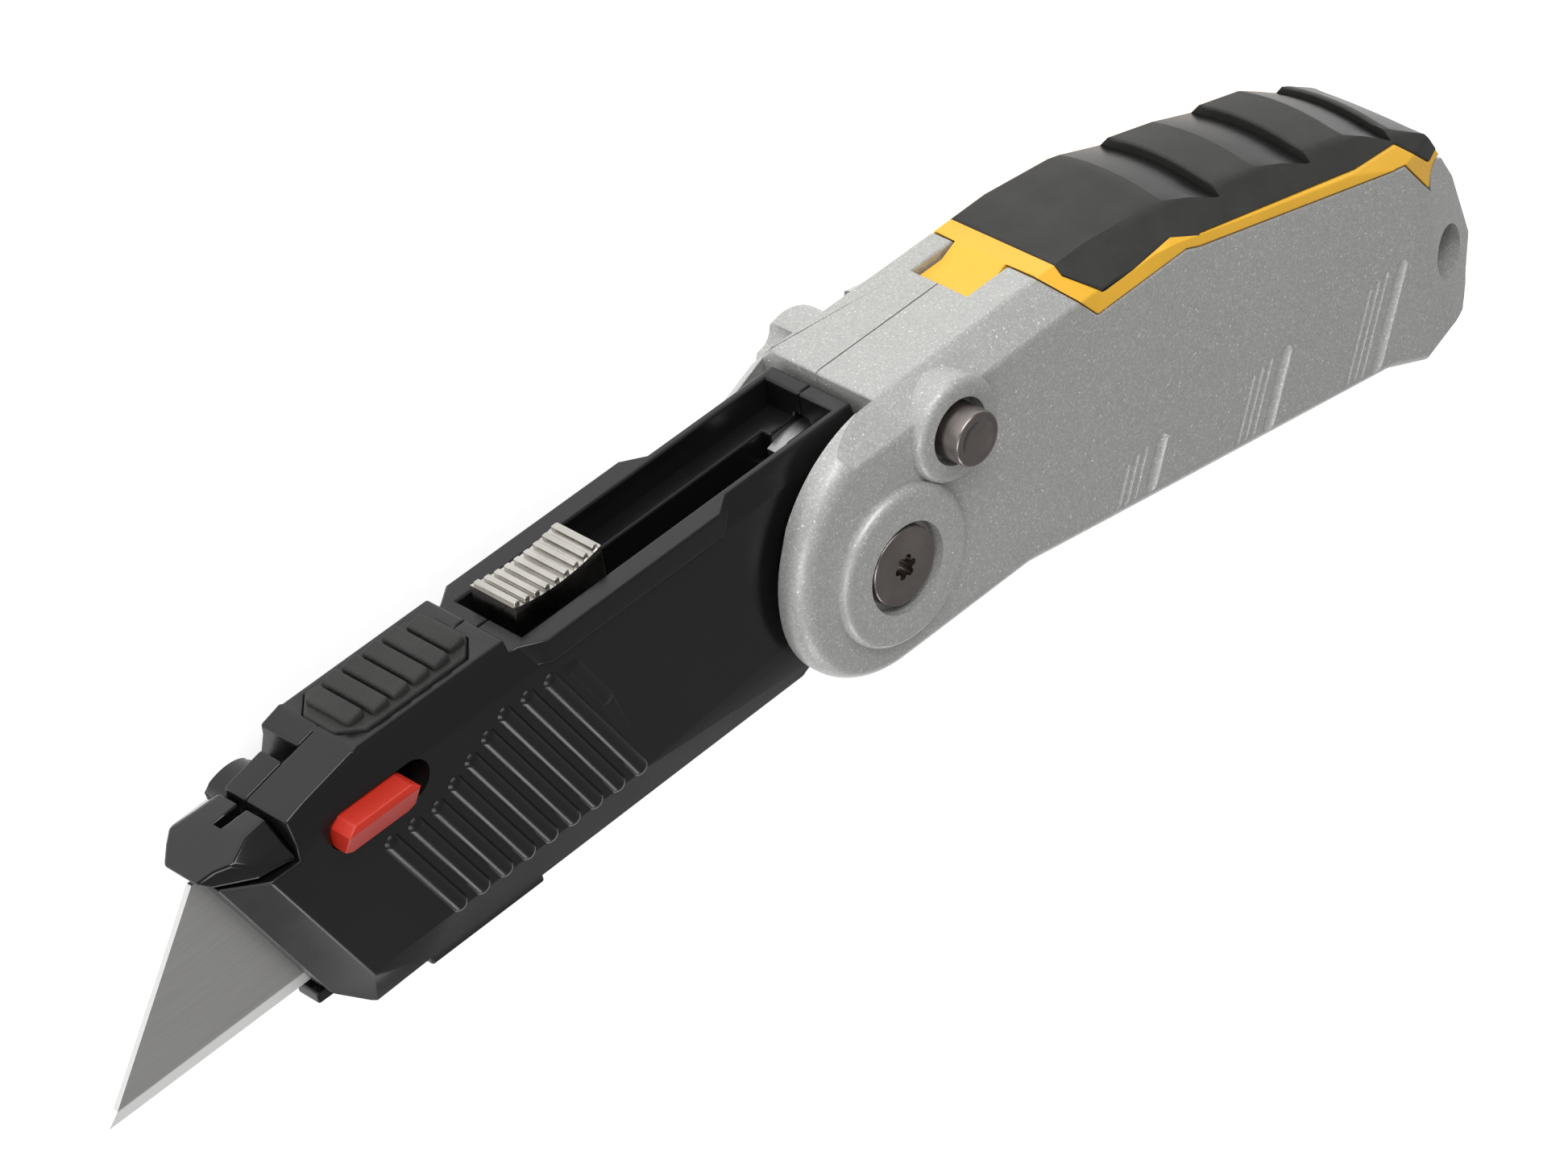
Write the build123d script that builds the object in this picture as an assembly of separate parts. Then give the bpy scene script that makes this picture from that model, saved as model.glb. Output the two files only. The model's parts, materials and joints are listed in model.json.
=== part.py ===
from build123d import *
import os
from math import radians, degrees, sin, cos, tan, atan2, hypot, pi

# Folding utility knife.  Working frame: X runs from the blade tip to the tail, Y from the cutting
# edge up to the slider, Z out of the lock-button side, with the blade in the plane Z = 0.
# Everything is moved once, at the end, so the knife lies on its far side on the plane Z = 0.

# ---- bought-in sizes -------------------------------------------------------------------------
blade_length, blade_height, blade_thick = 61.0, 19.0, 0.6   # standard trapezoid utility blade
blade_angle = 52.4                                          # end slope of the trapezoid
spare_count = 5
# ---- overall sizes ---------------------------------------------------------------------------
pivot = (94.4, 7.8)            # pivot centre, measured from the blade tip
nose_reach = 80.6              # pivot to the front of the cap
tail_reach = 86.6              # pivot to the rear of the handle
nose_half = 6.3                # half thickness of the nose
lip_half = 7.0                 # half thickness over the slider lip
nose_top, nose_bottom = 23.9, -2.6
deck_rise = 1.7                # thumb-pad deck above the slider rim
blade_travel = 26.0
fold_angle = 169.0             # open to folded
# ---- handle ----------------------------------------------------------------------------------
side_wall = 3.1
channel_clear = 0.5            # each side of the lip
deck_y = 24.8
boss_rise = 1.1                # both pads stand the same, so the knife lies flat on them
bevel, far_bevel = 3.2, 4.3    # 45 degree bevels along the back, near side and far side
tail_bevel = (8.8, 3.1)        # width and depth down the tail, round the lanyard hole
near_pads = (8.6, 5.6)         # raised pads round the pivot and the lock, on the near side
far_pads = (8.6, 4.8)
# ---- pivot and lock --------------------------------------------------------------------------
barrel_r, head_r, recess_r = 3.0, 4.2, 4.9
lock_at = (9.2, 10.7)          # lock button centre from the pivot
lock_r, lock_hole_r = 2.9, 3.55
neck_r = 1.4
plate_thick = 2.0
lock_travel = 2.0
lock_proud = 2.4
# ---- clearances ------------------------------------------------------------------------------
run = 0.06                     # radial running fit
seat = 0.02                    # still joint, never a bearing
pin_gap = 0.05                 # hinge pin in its two lugs
slide_gap = 0.15

px, py = pivot
channel_half = lip_half + channel_clear
half = channel_half + side_wall
lx, ly = px + lock_at[0], py + lock_at[1]
lock_radius = hypot(*lock_at)
hub_r = lock_radius - lock_r - 0.9
inset = blade_height / tan(radians(blade_angle))
droop = 180 - fold_angle
boss_face = half + boss_rise
front_x = px - nose_reach
rim_rear = px + 1.7
slot_front, slot_rear = px - 41.2, px - 0.2
slot_half, ledge_y, inner_half = 4.4, 20.7, 2.0
slider_front, slider_len = slot_front + 0.8, 11.3
deck_top = nose_top + deck_rise
carrier_half = 1.85
cavity_half = carrier_half + slide_gap


def prism(points, z0, z1):
    """Straight-sided outline in XY carried from z0 to z1."""
    face = make_face(Polyline(*points, close=True))
    return Pos(0, 0, z0) * extrude(face, z1 - z0, dir=(0, 0, 1))


def block(x0, x1, y0, y1, z0, z1):
    size = (x1 - x0, y1 - y0, z1 - z0)
    return Pos((x0 + x1) / 2, (y0 + y1) / 2, (z0 + z1) / 2) * Box(*size)


def rod(x, y, r, z0, z1):
    return Pos(x, y, (z0 + z1) / 2) * Cylinder(r, z1 - z0)


def tilted(angle, points):
    """Points given from the pivot, turned about it, back in the working frame."""
    c, s = cos(radians(angle)), sin(radians(angle))
    return [(px + c * x - s * y, py + s * x + c * y) for x, y in points]


def folded(part):
    """The pose a nose part takes when the nose is folded into the handle."""
    return Pos(px, py, 0) * Rot(0, 0, fold_angle) * Pos(-px, -py, 0) * part


def slash(x, y, length, width, angle, z0, z1):
    """Slanted round-ended slot shape carried from z0 to z1."""
    bar = Pos(0, 0, z0) * extrude(SlotOverall(length, width), z1 - z0, dir=(0, 0, 1))
    return Pos(x, y, 0) * Rot(0, 0, angle) * bar


def ridge(x, y, length, width, rise, angle, face):
    """Slanted bar with round ends and a round back, its back standing a rise off a face."""
    r = (width * width / 4 + rise * rise) / (2 * rise)
    run_len = length - width
    bar = Rot(0, 90, 0) * Cylinder(r, run_len)
    bar += Pos(run_len / 2, 0, 0) * Sphere(r)
    bar += Pos(-run_len / 2, 0, 0) * Sphere(r)
    return Pos(x, y, face + rise - r) * Rot(0, 0, angle) * bar


def run_bevel(p, q, size, h, deep=None):
    """Wedges that bevel both rims of a straight run, size wide; its outside is left of p to q."""
    lean = degrees(atan2(q[1] - p[1], q[0] - p[0]))
    k = (deep or size) / size
    tri = make_face(Polyline((-size - 3 / k, h + 3), (12, h - k * (size + 12)), (12, h + 3),
                             close=True))
    end = Plane((-60, 0, 0), x_dir=(0, 1, 0), z_dir=(1, 0, 0))
    wedge = Pos(*p, 0) * Rot(0, 0, lean) * extrude(end * tri, 160)
    return wedge + mirror(wedge, about=Plane.XY)


# ---- blade family ----------------------------------------------------------------------------
def blade_flat(z0, z1):
    """Trapezoid with two locating notches in its short edge."""
    h, n = blade_height, blade_length / 2
    body = prism([(0, 0), (blade_length, 0), (blade_length - inset, h), (inset, h)], z0, z1)
    for x in (n - 4.5, n + 4.5):
        body -= rod(x, h, 1.6, z0 - 1, z1 + 1)
    return body


def blade():
    t = blade_thick / 2
    body = blade_flat(-t, t)
    ground = 1.5
    for side in (1, -1):
        wedge = make_face(Polyline((0, side * t * 0.12), (ground, side * t), (ground, side * 3),
                                   (-1, side * 3), (-1, side * t * 0.12), close=True))
        cut = extrude(Plane((-1, 0, 0), x_dir=(0, 1, 0), z_dir=(1, 0, 0)) * wedge,
                      blade_length + 2)
        body -= cut
    return body


spare_pitch = blade_thick + 0.02
spare_len = blade_length
stack = spare_count * spare_pitch
store_start = (px + 15.8, deck_y - 2.5)     # front top corner of the spare-blade pocket
store_fall = droop + 1.2                    # slope of the pocket
store_gap = 0.25


def store_box(grow, up, down):
    """Box along the spare-blade pocket; up and down are from the top of the stack."""
    w = blade_height / 2 + grow
    box = Pos((spare_len) / 2, (up - down) / 2, 0) * Box(spare_len + 2 * grow, up + down, 2 * w)
    return Pos(*store_start, 0) * Rot(0, 0, -store_fall) * box


def spare_blades():
    flat = Rot(90, 0, 0) * Pos(0, -blade_height / 2, 0) * blade_flat(0, blade_thick)
    lay = [Pos(*store_start, 0) * Rot(0, 0, -store_fall) * Pos(0, -i * spare_pitch, 0) * flat
           for i in range(spare_count)]
    return Compound(children=[p.solids()[0] for p in lay])


# ---- nose ------------------------------------------------------------------------------------
def nose_outline():
    """Side view of the nose with its round hub about the pivot."""
    x0, r = front_x, hub_r
    pts = [(x0 + 8.0, 19.6), (x0 + 8.0, nose_top - 0.6), (px - 62.6, deck_top),
           (px - 43.9, deck_top), (px - 43.5, nose_top), (rim_rear, nose_top), (rim_rear, py),
           (px, nose_bottom), (x0 + 14.2, nose_bottom), (x0 + 11.2, nose_bottom + 2.2),
           (x0 + 1.4, 19.6)]
    face = make_face(Polyline(*pts, close=True))
    face = fillet([v for v in face.vertices() if v.Y < 0 and v.X < x0 + 20], 1.3)
    face = fillet([v for v in face.vertices() if v.Y > deck_top - 0.1 and v.X < px - 55], 4.0)
    return face + Pos(px, py) * Circle(r)


def nose_section():
    """Front view of the nose: drafted foot, straight sides, bevelled shoulders."""
    w, b, t = nose_half, nose_bottom, nose_top
    pts = [(b - 1, w - 1.7), (b, w - 1.4), (b + 4.6, w), (t - 2.9, w), (t, w - 1.0),
           (deck_top + 0.1, w - 1.1)]
    loop = pts + [(y, -z) for y, z in reversed(pts)]
    face = make_face(Polyline(*loop, close=True))
    at = Plane((front_x - 2, 0, 0), x_dir=(0, 1, 0), z_dir=(1, 0, 0))
    return extrude(at * face, nose_reach + 40)


def lips():
    """Raised lip either side of the slider slot, with angled ends."""
    x0, x1 = slot_front - 1.4, px - 15.2
    y0, y1, w = nose_top - 2.7, nose_top, lip_half
    plan = make_face(Polyline((x0, -3), (x0, nose_half - 1), (x0 + 2.4, w), (x1 - 2.4, w),
                              (x1, nose_half - 1), (x1, -3), close=True))
    up = Plane((0, y0, 0), x_dir=(1, 0, 0), z_dir=(0, 1, 0))
    both = extrude(up * plan, y1 - y0)
    both += mirror(both, about=Plane.XY)
    return both


def cap_space(gap):
    """Volume the front cap owns at the top front corner, grown by a gap."""
    x0, g = front_x, gap
    return prism([(x0 - 3, 19.6 - g), (x0 + 8.4 + g, 19.6 - g), (x0 + 8.4 + g, 30), (x0 - 3, 30)],
                 -12, 12)


def nose_solid():
    body = extrude(nose_outline(), nose_half, both=True) & nose_section()
    body += lips()
    slope = prism([(front_x + 6, 30), (front_x + 6, nose_top - 0.9), (px - 62.6, deck_top),
                   (px - 62.6, 30)], -12, 12)
    body -= slope
    body -= run_bevel((front_x + 11.2, nose_bottom + 2.2), (front_x + 1.4, 19.6), 3.4, nose_half)
    body -= cap_space(0.4)
    return body


def around(r, angle):
    """Point at a radius and an angle about the pivot."""
    return (px + r * cos(radians(angle)), py + r * sin(radians(angle)))


lock_angle = degrees(atan2(lock_at[1], lock_at[0]))


def lock_path(r):
    """Track the lock button sweeps through the nose tail between open and folded."""
    ring = rod(px, py, lock_radius + 4, -20, 20) - rod(px, py, lock_radius - r, -21, 21)
    last = lock_angle - fold_angle
    corners = [around(60, lock_angle + (last - lock_angle) * i / 4) for i in range(5)]
    path = ring & prism([pivot] + corners, -20, 20)
    for a in (lock_angle, last):
        path += rod(*around(lock_radius, a), r, -20, 20)
    return path


carrier_front, carrier_rear, carrier_top = px - 62.9, px - 31.4, ledge_y - 0.2
detent_at = (px - 45.0, 13.6)


def carrier_window():
    """Room for the carrier and the blade over the whole travel, and the detent groove."""
    h, b = cavity_half, blade_thick / 2 + slide_gap
    run_box = block(carrier_front - 1.2, carrier_rear + blade_travel + 0.5, 0.9, ledge_y + 0.1, -h, h)
    blade_room = block(-30, blade_length + blade_travel + 1.2, -0.5, blade_height + 0.4, -b, b)
    y, x = detent_at[1], detent_at[0]
    groove = block(x - 2.4, x + blade_travel + 2.4, y - 1.9, y + 1.9, -h - 0.8, 0)
    for i in range(3):
        groove += rod(x + i * blade_travel / 2, y, 1.7, -h - 1.3, 0)
    return run_box + blade_room + groove


def nose_cutouts(body):
    body -= block(slot_front, slot_rear, ledge_y, 40, -slot_half, slot_half)
    body -= block(slot_front - 1.5, px - 3.6, ledge_y - 3, ledge_y + 1, -inner_half, inner_half)
    body -= carrier_window()
    body -= rod(px, py, barrel_r + run, -20, 20)
    body -= lock_path(lock_r + 0.35)
    tail = plate_thick / 2 + seat
    body -= rod(px, py, plate_r + 1.2, -tail, tail) - block(0, px - 4.4, -30, 40, -9, 9)
    return body


plate_r = lock_radius - neck_r - 0.35


def thumb_pad_space(grow):
    """Octagonal rubber pad footprint on the deck."""
    x0, x1, w, c = px - 62.3 - grow, px - 45.6 + grow, 4.3 + grow, 2.2
    plan = make_face(Polyline((x0 + c, w), (x1 - c, w), (x1, w - c), (x1, c - w), (x1 - c, -w),
                              (x0 + c, -w), (x0, c - w), (x0, w - c), close=True))
    up = Plane((0, deck_top - 1.0, 0), x_dir=(1, 0, 0), z_dir=(0, 1, 0))
    return extrude(up * plan, 2.4)


def thumb_pad():
    """Rubber pad with six rounded cross bands."""
    pad = thumb_pad_space(-seat)
    x0, pitch = px - 61.3, 2.75
    for i in range(6):
        pad -= block(x0 + pitch * (i + 0.62), x0 + pitch * (i + 1), deck_top + 0.75, deck_top + 3,
                     -9, 9)
    shoulder = block(px - 63.3, px - 45, deck_top + 0.8, deck_top + 4, 3.6, 9)
    pad -= shoulder
    pad -= mirror(shoulder, about=Plane.XY)
    return pad


release_at = (px - 62.0, 19.1)
release_len, release_slot, release_high = 8.8, 12.4, 3.8
release_travel = 2.4


def release_pocket():
    """Race-track window outside and flange pocket inside the near nose wall."""
    x, y = release_at
    slot = slash(x, y, release_slot, release_high + 0.4, 0, cavity_half, 20)
    room = block(x - 7.4, x + 7.4, y - 3.0, y + 3.0, cavity_half - 0.1, 3.8)
    return slot + room


def release_button():
    """Red thumb catch: sloping face, flange behind the nose wall."""
    x, y = release_at
    x0 = x - release_slot / 2 + 0.5
    x1, h = x0 + release_len, release_high / 2
    top, low = nose_half + 2.3, nose_half + 1.0
    side = make_face(Polyline((y - h, 3.5), (y + h, 3.5), (y + h, top), (y + h - 0.7, top + 0.2),
                              (y - h, low), close=True))
    at = Plane((x0, 0, 0), x_dir=(0, 1, 0), z_dir=(1, 0, 0))
    plan = [(x0, y - h + 0.7), (x0 + 1.0, y - h), (x1 - 0.8, y - h), (x1, y - h + 0.5),
            (x1, y + h - 0.5), (x1 - 0.8, y + h), (x0 + 1.0, y + h), (x0, y + h - 0.7)]
    head = extrude(at * side, release_len) & prism(plan, 0, 20)
    flange = block(x - 7.2, x1 + 1.0, y - 2.7, y + 2.7, cavity_half + 0.2, 3.6)
    return head + flange


def grip_ribs(body):
    """Nine slanted ribs that climb toward the slider, and one short one behind them."""
    slope, pitch = -63.0, 2.95
    for i in range(10):
        foot = (px - 55.6 + pitch * i, 2.4)
        top_y = 14.4 if i < 3 else min(14.4 + 1.15 * (i - 2), 19.0)
        if i == 9:
            foot, top_y = (px - 34.4, 12.6), 18.6
        length = (top_y - foot[1]) / sin(radians(-slope))
        run_x = (top_y - foot[1]) / tan(radians(-slope))
        at = (foot[0] - run_x / 2, (foot[1] + top_y) / 2)
        rib = ridge(*at, length + 1.4, 1.9, 0.5 if i < 9 else 0.25, slope, nose_half)
        rib &= block(at[0] - 15, at[0] + 15, 0, 30, nose_half - 0.4, nose_half + 2)
        body += rib + mirror(rib, about=Plane.XY)
    return body


nose_screw_spots = [(px - 48.4, 22.1), (px - 52.0, nose_bottom + 1.22)]
nose_screw_r, nose_screw_head = 0.8, 1.2
nose_pin_spot = (front_x + 10.2, 20.9)
cap_tongue = (19.75, 22.05)    # heights of the cap's tongue, which the front pin crosses
tail_pin_spots = [(px + 5.2, py - 4.6), (px + 5.2, py + 4.6)]
guide_front = front_x + 10.4
foot_drop, foot_half, guide_drop = 0.9, 4.9, 1.0     # how far they stand below the nose


def guide_space(g):
    """Slot in the nose foot that holds the blade-edge guide."""
    x, b = guide_front, nose_bottom
    rail = block(x - g, x + 9.8 + g, b + 0.6 - g, -0.6 + g, -1.5 - g, 1.5 + g)
    return rail + block(x + 4.6 - g, x + 9.8 + g, b - guide_drop, b + 0.7, -3.4 - g, 3.4 + g)


def front_hump():
    """What is cut away to leave a low hump and a notch between the cap and the deck."""
    x0, x1, top = front_x + 8, px - 64.95, deck_top + 2
    notch = block(x1 - 2.0, x1, 21.9, top, -12, 1)
    hump = Polyline((x1, 20.4), (x1, top), (x0, top), (x0, 20.6), (x0 + 0.7, 20.8),
                    (x0 + 1.0, 21.9))
    crest = [ThreePointArc((x0 + 1.0, 21.9), (x0 + 3.3, 22.9), (x0 + 5.6, 22.1)),
             Line((x0 + 5.6, 22.1), (x0 + 6.7, 20.4)), Line((x0 + 6.7, 20.4), (x1, 20.4))]
    side = Pos(0, 0, -12) * extrude(make_face(Curve() + [hump] + crest), 9.0, dir=(0, 0, 1))
    return notch + side


def nose_casting(near):
    """One casting of the nose, cut at the blade plane."""
    foot = block(px - 59.2, px - 44.6, nose_bottom - foot_drop, nose_bottom + 1.5, -foot_half,
                 foot_half)
    body = nose_cutouts(nose_solid() + foot)
    body = grip_ribs(body)
    body -= thumb_pad_space(0)
    body -= guide_space(seat)
    y0, y1 = cap_tongue
    body -= block(front_x + 6, front_x + 12.2, y0 - seat, y1 + seat, -1.8 - seat, 1.8 + seat)
    body = body & (block(-20, px + 40, -20, 60, 0, 20) if near
                   else block(-20, px + 40, -20, 60, -20, 0))
    if near:
        body -= release_pocket()
    else:
        body -= front_hump()
    for x, y in nose_screw_spots:
        body -= rod(x, y, nose_screw_r + seat, -5, 4.4)
        body -= rod(x, y, nose_screw_head + seat, -20, -3.6)
    for x, y in [nose_pin_spot] + tail_pin_spots:
        body -= rod(x, y, 0.75 + seat, -3.0, 3.0)
    return Compound(children=[sorted(body.solids(), key=lambda q: q.volume)[-1]])


def hex_screw(r, head, z_top, z_head, z_end):
    """Small screw lying along Z, its head toward -Z, with a hexagon socket."""
    body = rod(0, 0, head, z_top, z_head) + rod(0, 0, r, z_head - 0.01, z_end)
    socket = extrude(Pos(0, 0, z_top) * RegularPolygon(head * 0.45, 6), 0.7, dir=(0, 0, 1))
    return body - socket


def nose_screws():
    one = hex_screw(nose_screw_r, nose_screw_head, -5.2, -3.7, 4.2)
    return Compound(children=[(Pos(x, y, 0) * one).solids()[0] for x, y in nose_screw_spots])


def nose_pins():
    spots = [nose_pin_spot] + tail_pin_spots
    return Compound(children=[rod(x, y, 0.75, -2.8, 2.8).solids()[0] for x, y in spots])


def front_cap():
    """Gloss cap over the blade's spine at the front of the nose."""
    x0, low = front_x, 19.75
    side = prism([(x0, low + 0.9), (x0 + 1.2, low), (x0 + 8.4, low), (x0 + 8.4, nose_top - 0.8),
                  (x0 + 5.6, nose_top - 1.0), (x0 + 1.6, low + 2.0)], -8, 8)
    plan = make_face(Polyline((x0 - 1, 1.4), (x0 + 4.6, 5.6), (x0 + 9, 6.2), (x0 + 9, -6.2),
                              (x0 + 4.6, -5.6), (x0 - 1, -1.4), close=True))
    tall = extrude(Plane((0, 15, 0), x_dir=(1, 0, 0), z_dir=(0, 1, 0)) * plan, 12)
    w = nose_half - 0.2
    pts = [(15, w), (20.3, w), (21.6, w - 1.2), (nose_top - 0.4, w - 3.6)]
    front = make_face(Polyline(*(pts + [(y, -z) for y, z in reversed(pts)]), close=True))
    at = Plane((x0 - 3, 0, 0), x_dir=(0, 1, 0), z_dir=(1, 0, 0))
    cap = side & tall & extrude(at * front, 20)
    cap += block(x0 + 7.4, x0 + 12.0, cap_tongue[0], cap_tongue[1], -1.8, 1.8)
    cap -= rod(*nose_pin_spot, 0.75 + seat, -9, 9)
    cap -= block(x0 + 5.2, x0 + 9, nose_top - 2.4, 30, -0.5, 0.5)
    return cap


def edge_guide():
    return guide_space(0)


def lock_plate():
    """Steel plate let into the nose tail; its rim notch is where the lock button sits."""
    t = plate_thick / 2
    body = rod(px, py, plate_r, -t, t) - block(0, px - 4.2, -30, 40, -9, 9)
    body -= rod(px, py, barrel_r + run, -9, 9)
    body -= rod(lx, ly, lock_r + 0.2, -9, 9)
    for x, y in tail_pin_spots:
        body -= rod(x, y, 0.75 + seat, -9, 9)
    return body


# ---- carriage --------------------------------------------------------------------------------
stem_x0, stem_x1 = slider_front + 2.0, slider_front + 8.6
stem_foot = carrier_top - 4.4
slider_pin_at = (slider_front + 5.3, carrier_top - 2.6)


def blade_carrier():
    """Cast carrier that grips the blade behind its front notch."""
    h, b = carrier_half, blade_thick / 2 + seat
    body = block(carrier_front, carrier_rear, 1.2, carrier_top, -h, h)
    body -= block(carrier_front - 1, blade_length + 0.1, -1, blade_height + 0.1, -b, b)
    body += rod(blade_length / 2 + 4.5, blade_height, 1.6 - seat, -b - 0.5, b + 0.5)
    body -= block(stem_x0 - seat, stem_x1 + seat, stem_foot - seat, 40, -1.0 - seat, 1.0 + seat)
    body -= rod(*slider_pin_at, 0.9 + seat, -9, 9)
    x, y = detent_at
    body -= block(x - 7 - seat, x + 7 + seat, y - 1.6 - seat, y + 1.6 + seat, -9, -h + 0.9)
    return body


def slider_button():
    """Plated slider: dished top with cross ribs, stem down to the carrier."""
    x0, x1, y0, y1 = slider_front, slider_front + slider_len, ledge_y + 0.1, 25.9
    xm = (x0 + x1) / 2
    edge = Polyline((x1, y1), (x1, y0 + 0.5), (x1 - 0.6, y0), (x0 + 0.6, y0), (x0, y0 + 0.5),
                    (x0, y1))
    saddle = ThreePointArc((x0, y1), (xm, y1 - 0.75), (x1, y1))
    body = extrude(make_face(Curve() + [edge, saddle]), 3.0, both=True)
    count, pitch = 9, slider_len / 9
    for i in range(count):
        x = x0 + pitch * (i + 0.5)
        dip = 0.75 * (1 - ((x - xm) / (slider_len / 2)) ** 2)
        body += block(x - 0.36, x + 0.36, y1 - dip - 0.5, y1 - dip + 0.45, -2.8, 2.8)
    body += block(stem_x0, stem_x1, stem_foot, y0 + 0.4, -1.0, 1.0)
    return body - rod(*slider_pin_at, 0.9 + seat, -9, 9)


def slider_pin():
    return rod(*slider_pin_at, 0.9, -carrier_half, carrier_half)


def detent_spring():
    """Leaf in the carrier's far side; its rounded crest runs in the nose groove."""
    x, y = detent_at
    z = -carrier_half
    leaf = block(x - 7, x + 7, y - 1.6, y + 1.6, z + 0.5, z + 0.85)
    leaf += block(x - 7, x - 5, y - 1.6, y + 1.6, z, z + 0.85)
    crest = rod(x, y, 1.4, z - 0.5, z + 0.85)
    return leaf + fillet(crest.edges().sort_by(Axis.Z)[0], 0.6)


# ---- handle ----------------------------------------------------------------------------------
def tail_x(share):
    """Station along the handle as a share of the pivot-to-tail length."""
    return px + tail_reach * share


tail_top, tail_low = (tail_x(1) - 1.0, py - 6.6), (tail_x(1) + 0.8, py - 14.8)
door_front = tail_x(0.296)
hinge_at = (tail_x(1) - 4.3, py - 4.6)
hinge_r, knuckle_r, knuckle_half = 0.8, 1.8, 6.2
pin_end = half - 2.7           # the pin stops short of the bevelled tail
lanyard_at, lanyard_r = (tail_x(1) - 4.5, py - 13.6), 2.9
lanyard_wall = half - 0.3              # half the length of the hole through the bevelled tail


def handle_envelope():
    """Whole outside of handle and door: outline, top bevel and rounded edges."""
    low, mid, high = around(12.0, 264), around(12.7, 218), around(13.4, 174)
    front = [ThreePointArc(low, mid, high),
             ThreePointArc(high, (px - 9.0, py + 12.0), (px + 2.6, deck_y))]
    back = Polyline((px + 2.6, deck_y), (tail_x(0.381), deck_y), (tail_x(0.485), deck_y - 1.2),
                    (tail_x(0.803), py + 7.9), (tail_x(0.889), py + 4.2), (tail_x(0.938), py + 1.4),
                    tail_top, tail_low, (tail_x(0.963), py - 21.8), (tail_x(0.885), py - 24.4),
                    (tail_x(0.816), py - 21.8), (tail_x(0.353), py - 14.5), (px + 17.1, py - 12.0),
                    low)
    body = extrude(make_face(Curve() + front + [back]), half, both=True)
    body = fillet([e for e in body.edges() if abs(abs(e.center().Z) - half) < 1e-6], 2.2)
    top = [(px, deck_y), (tail_x(0.381), deck_y), (tail_x(0.485), deck_y - 1.2),
           (tail_x(0.803), py + 7.9), (tail_x(0.889), py + 4.2)]
    far_side = block(-100, 400, -100, 200, -30, 0)
    for p, q in zip(top, top[1:]):
        body -= run_bevel(p, q, bevel, half)
        body -= run_bevel(p, q, far_bevel, half) & far_side
    body -= run_bevel((px - 9.0, py + 12.0), (px + 2.6, deck_y), far_bevel, half) & far_side
    return body - run_bevel(tail_top, tail_low, tail_bevel[0], half, tail_bevel[1])


def door_line(lift):
    """Lower edge of the door, raised by lift, running from its front to the hinge."""
    y0, hx, hy = deck_y - 5.9, *hinge_at
    return [(door_front - 0.4, deck_y - 0.2 + lift), (door_front + 4.6, y0 + lift),
            (tail_x(0.498), y0 + lift), (tail_x(0.52), y0 - 0.8 + lift),
            (tail_x(0.874) + 0.3 * lift, py + 1.7 + lift), (hx - 1.5 + lift, hy - 0.7 + 0.4 * lift)]


def door_region(gap):
    """Side-view area the door owns; a gap makes it the opening left for it."""
    hx, hy = hinge_at
    line = door_line(-gap)
    line[0] = (door_front - gap, deck_y)
    return prism([(door_front - gap, 60)] + line + [(hx, hy), (hx + 40, hy + 28.5),
                 (hx + 40, 60)], -20, 20)


def knuckle_zone(r, z):
    return rod(*hinge_at, r, -z, z)


def channel():
    """Space inside the handle: folded nose, swinging tail and the open front."""
    h, b = channel_half, nose_bottom - py - 0.6
    x0 = front_x - px
    nose = tilted(fold_angle, [(4, b), (x0 + 13.6, b), (x0 + 10.3, b + 2.2), (x0 - 0.8, 13.2),
                               (x0 - 0.8, 45), (4, 45)])
    room = prism(nose, -h, h) + rod(px, py, plate_r + 0.45, -h, h)
    for x_in, x_out, deep, wide in ((-44.0, -59.8, foot_drop, foot_half + 0.4),
                                    (guide_front - px + 10.4, guide_front - px + 3.8, guide_drop, 3.8),
                                    (guide_front - px + 5.0, guide_front - px - 0.6, -0.6, 2.0)):
        low = nose_bottom - py - deep - 0.4
        recess = tilted(fold_angle, [(x_in, low), (x_out, low), (x_out, b + 3), (x_in, b + 3)])
        room += prism(recess, -wide, wide)
    room += block(px - 40, rim_rear + 0.8, -60, 60, -h, h)
    room += prism([(px, py), around(plate_r + 0.45, 90), around(80, 90), around(80, 180),
                   around(80, 270), around(plate_r, 270)], -h, h)
    return room


def blade_slit():
    """Slot in the tail for the tip of a blade left out while the nose is folded."""
    edge = -py - 0.6
    return prism(tilted(fold_angle, [(-55, edge), (-130, edge), (-130, 60), (-55, 60)]), -1.0, 1.0)


def side_bosses():
    """Raised pads round the pivot and the lock button, on both sides."""
    out = Part()
    for radii, side in ((near_pads, 1), (far_pads, -1)):
        for (x, y), r in zip((pivot, (lx, ly)), radii):
            pad = rod(x, y, r, half - 3, boss_face)
            pad = fillet(pad.edges().sort_by(Axis.Z)[-1], boss_rise * 0.9)
            out += pad if side > 0 else mirror(pad, about=Plane.XY)
    return out


def slash_grooves():
    """Three groups of slanted grooves low on each side: one deep, three fine."""
    out = Part()
    for x, y, length in ((tail_x(0.41), py - 10.6, 6.4), (tail_x(0.618), py - 12.8, 9.6),
                         (tail_x(0.817), py - 14.6, 13.0)):
        out += scoop_groove(x, y, length, 1.8, 0.5)
        for i in range(3):
            out += scoop_groove(x - 2.6 - 1.25 * i, y, length - 0.6 * i, 0.7, 0.16)
    return out + mirror(out, about=Plane.XY)


def scoop_groove(x, y, length, width, depth):
    """Round-bottomed groove: a ridge turned over, so it dips into the side."""
    return mirror(ridge(x, y, length, width, depth, 62, -half), about=Plane.XY)


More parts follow.
